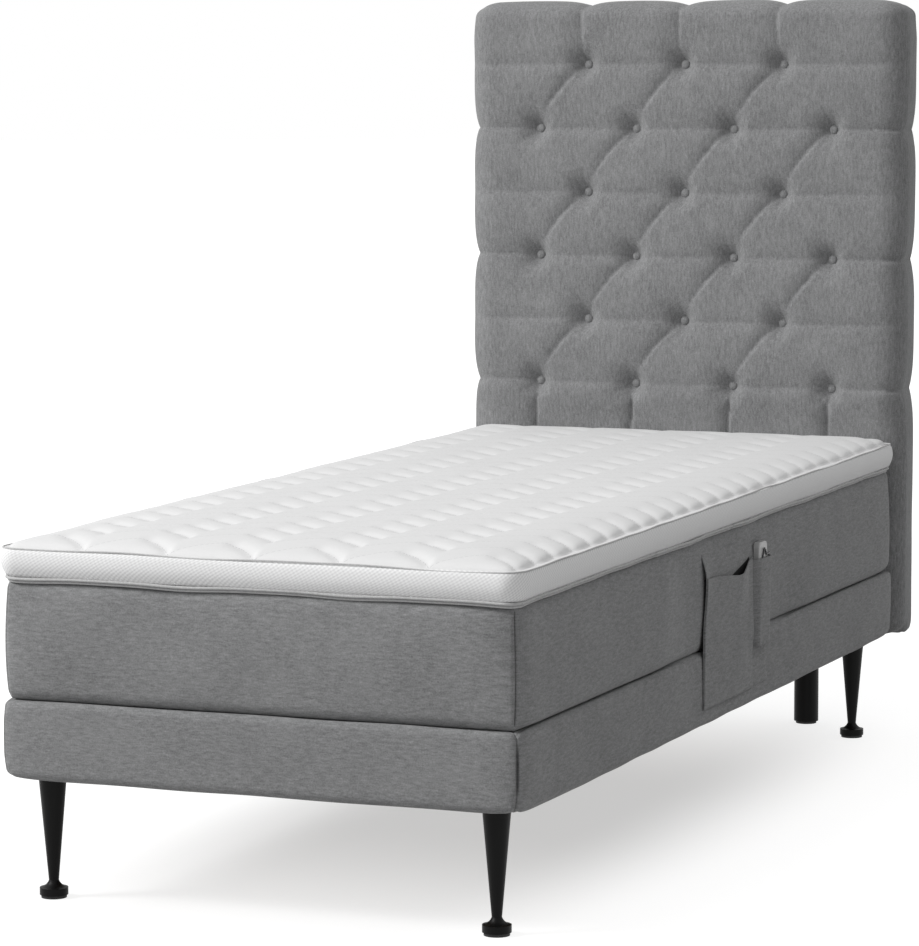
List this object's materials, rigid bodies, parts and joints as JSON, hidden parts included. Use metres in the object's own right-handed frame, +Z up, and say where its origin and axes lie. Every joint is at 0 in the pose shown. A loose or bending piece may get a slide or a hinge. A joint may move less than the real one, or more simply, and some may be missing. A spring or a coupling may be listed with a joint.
{
  "type": "adjustable single bed",
  "caption": "Adjustable single bed: padded box base on turned legs, lifting decks inside, thick mattress, quilted topper, buttoned headboard and a side pocket with a handset.",
  "frame": {"origin": "on the floor, under the middle of the overall box", "axes": "+Z up, +Y from the foot end to the headboard, +X to the right side when looking from the foot end, where the pocket hangs"},
  "size_m": [0.9393, 2.214, 1.478],
  "materials": {
    "grey_upholstery": "matte",
    "mattress_cover": "matte",
    "topper_cover": "matte",
    "pocket_cloth": "matte",
    "headboard_cover": "matte",
    "button_cover": "matte",
    "back_cloth": "matte",
    "black_legs": "satin",
    "black_glides": "matte",
    "pine": "matte",
    "plywood": "matte",
    "chipboard": "matte",
    "frame_steel": "satin",
    "bright_steel": "satin",
    "drive_housing": "matte",
    "handset_shell": "satin",
    "handset_keys": "matte",
    "handset_wire": "satin"
  },
  "bodies": {
    "root": {"foot_board": "pine", "head_end_board": "pine", "left_side_board": "pine", "right_side_board": "pine", "foot_cover": "grey_upholstery", "head_end_cover": "grey_upholstery", "left_side_cover": "grey_upholstery", "right_side_cover": "grey_upholstery", "leg_foot_left": "black_legs", "leg_foot_right": "black_legs", "leg_head_left": "black_legs", "leg_head_right": "black_legs", "leg_glides": "black_glides", "corner_blocks": "pine", "left_rail": "frame_steel", "right_rail": "frame_steel", "frame_hinge_pins": "bright_steel", "seat_deck": "plywood", "back_motor_tube": "frame_steel", "leg_motor_tube": "frame_steel", "back_motor": "drive_housing", "leg_motor": "drive_housing", "control_box": "drive_housing", "mattress_seat": "mattress_cover", "topper_seat": "topper_cover", "mattress_bends": "mattress_cover", "topper_bends": "topper_cover", "pocket_back_panel": "pocket_cloth", "pocket_pouch": "pocket_cloth", "handset_sleeve": "pocket_cloth", "headboard_core": "chipboard", "headboard_cushion": "headboard_cover", "headboard_buttons": "button_cover", "headboard_back_cloth": "back_cloth", "headboard_legs": "black_legs", "headboard_bolts": "bright_steel"},
    "back": {"back_deck": "plywood", "back_brackets": "frame_steel", "back_lever": "frame_steel", "mattress_back": "mattress_cover", "topper_back": "topper_cover"},
    "thigh": {"thigh_deck": "plywood", "thigh_brackets": "frame_steel", "thigh_lever": "frame_steel", "knee_pins": "bright_steel", "mattress_thigh": "mattress_cover", "topper_thigh": "topper_cover"},
    "calf": {"calf_deck": "plywood", "calf_brackets": "frame_steel", "mattress_calf": "mattress_cover", "topper_calf": "topper_cover"},
    "links": {"calf_links": "frame_steel"},
    "back_rod": {"back_motor_rod": "bright_steel"},
    "leg_rod": {"leg_motor_rod": "bright_steel"},
    "handset": {"handset_case": "handset_shell", "handset_hook": "handset_wire"},
    "key_1": {"handset_key_1": "handset_keys"},
    "key_2": {"handset_key_2": "handset_keys"},
    "key_3": {"handset_key_3": "handset_keys"},
    "key_4": {"handset_key_4": "handset_keys"}
  },
  "joints": [
    {"name": "back_lift", "type": "hinge", "parent": "root", "child": "back", "pos_m": [0, 0.186, 0.312], "axis": [1, 0, 0], "range_deg": [0, 60], "deforming": ["mattress_bends", "topper_bends"]},
    {"name": "thigh_lift", "type": "hinge", "parent": "root", "child": "thigh", "pos_m": [0, -0.214, 0.312], "axis": [-1, 0, 0], "range_deg": [0, 35], "deforming": ["mattress_bends", "topper_bends"]},
    {"name": "knee_fold", "type": "hinge", "parent": "thigh", "child": "calf", "pos_m": [0, -0.614, 0.312], "axis": [-1, 0, 0], "range_deg": [-35, 0]},
    {"name": "link_turn", "type": "hinge", "parent": "root", "child": "links", "pos_m": [0, -0.564, 0.292], "axis": [-1, 0, 0], "range_deg": [0, 35]},
    {"name": "back_rod_slide", "type": "slide", "parent": "root", "child": "back_rod", "axis": [0, 1, 0], "range_m": [0, 0.09017]},
    {"name": "leg_rod_slide", "type": "slide", "parent": "root", "child": "leg_rod", "axis": [0, -1, 0], "range_m": [0, 0.04929]},
    {"name": "handset_lift", "type": "slide", "parent": "root", "child": "handset", "axis": [0, 0, 1], "range_m": [0, 0.2]},
    {"name": "key_1_press", "type": "slide", "parent": "handset", "child": "key_1", "axis": [1, 0, 0], "range_m": [0, 0.0008], "stiffness_N_per_m": 500, "springref_m": -0.0004},
    {"name": "key_2_press", "type": "slide", "parent": "handset", "child": "key_2", "axis": [1, 0, 0], "range_m": [0, 0.0008], "stiffness_N_per_m": 500, "springref_m": -0.0004},
    {"name": "key_3_press", "type": "slide", "parent": "handset", "child": "key_3", "axis": [1, 0, 0], "range_m": [0, 0.0008], "stiffness_N_per_m": 500, "springref_m": -0.0004},
    {"name": "key_4_press", "type": "slide", "parent": "handset", "child": "key_4", "axis": [1, 0, 0], "range_m": [0, 0.0008], "stiffness_N_per_m": 500, "springref_m": -0.0004}
  ],
  "couplings": [
    {"joint": "knee_fold", "follows": "thigh_lift", "ratio": -1},
    {"joint": "link_turn", "follows": "thigh_lift", "ratio": 1},
    {"joint": "back_rod_slide", "follows": "back_lift", "m_per_rad": 0.086007},
    {"joint": "leg_rod_slide", "follows": "thigh_lift", "m_per_rad": 0.08052}
  ]
}
